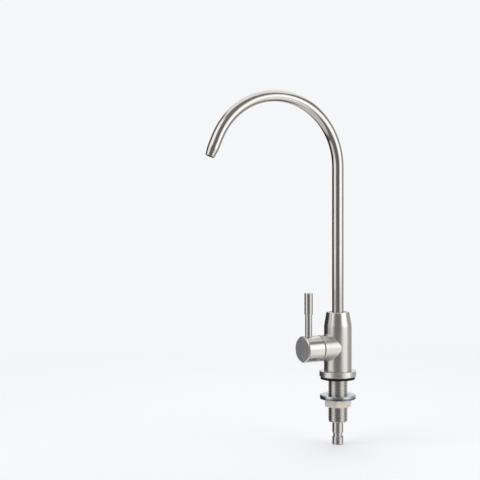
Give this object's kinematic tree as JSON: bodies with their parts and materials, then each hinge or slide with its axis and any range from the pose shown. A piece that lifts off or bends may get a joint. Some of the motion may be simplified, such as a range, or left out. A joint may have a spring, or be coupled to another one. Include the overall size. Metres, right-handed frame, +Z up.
{
  "type": "drinking water filter tap",
  "caption": "Slim gooseneck tap for filtered drinking water, with a side lever valve, a swivel spout and a threaded shank, washer and nut for a worktop hole.",
  "frame": {"origin": "centre of the gasket's underside, on the worktop's upper face and on the tap's own axis", "axes": "+Z up along the tap's axis, -Y along the valve towards its knob, +X to the left of someone who faces the knob"},
  "size_m": [0.032, 0.142, 0.3063],
  "materials": {
    "body_steel": "satin",
    "tube_steel": "satin",
    "lever_steel": "satin",
    "turned_steel": "satin",
    "nut_steel": "matte",
    "zinc_plate": "satin",
    "screw_steel": "satin",
    "spring_steel": "satin",
    "brass": "satin",
    "white_ceramic": "satin",
    "white_plastic": "matte",
    "black_rubber": "matte"
  },
  "bodies": {
    "root": {"tap_body": "body_steel", "base_flange": "body_steel", "base_gasket": "black_rubber", "threaded_shank": "turned_steel", "inlet_stem": "turned_steel", "inlet_oring": "black_rubber", "cartridge_housing": "brass", "cartridge_oring": "black_rubber", "seat_seal": "black_rubber", "fixed_disc": "white_ceramic"},
    "handle": {"handle_knob": "body_steel", "handle_lever": "lever_steel", "handle_grub_screw": "screw_steel", "cartridge_spindle": "brass", "spindle_inner_oring": "black_rubber", "spindle_outer_oring": "black_rubber", "spindle_clip": "spring_steel", "thrust_washer": "white_plastic", "moving_disc": "white_ceramic"},
    "spout": {"spout_tube": "tube_steel", "spout_ferrule": "turned_steel", "spout_slip_ring": "white_plastic", "spout_retaining_ring": "spring_steel", "spout_lower_oring": "black_rubber", "spout_upper_oring": "black_rubber"},
    "washer": {"fixing_washer": "zinc_plate"},
    "nut": {"hex_nut": "nut_steel"}
  },
  "joints": [
    {"name": "spout_swivel", "type": "hinge", "parent": "root", "child": "spout", "pos_m": [0, 0, 0.0582], "axis": [0, 0, 1], "continuous": true},
    {"name": "handle_turn", "type": "hinge", "parent": "root", "child": "handle", "pos_m": [0, -0.0308, 0.0279], "axis": [0, -1, 0], "range_deg": [0, 90]},
    {"name": "washer_slide", "type": "slide", "parent": "root", "child": "washer", "axis": [0, 0, 1], "range_m": [-0.012, 0.0131]},
    {"name": "nut_turn", "type": "hinge", "parent": "washer", "child": "nut", "pos_m": [0, 0, -0.0204], "axis": [0, 0, 1], "range_deg": [-3231.11, 3527.3]}
  ],
  "couplings": [
    {"joint": "washer_slide", "follows": "nut_turn", "m_per_rad": 0.00021279}
  ]
}
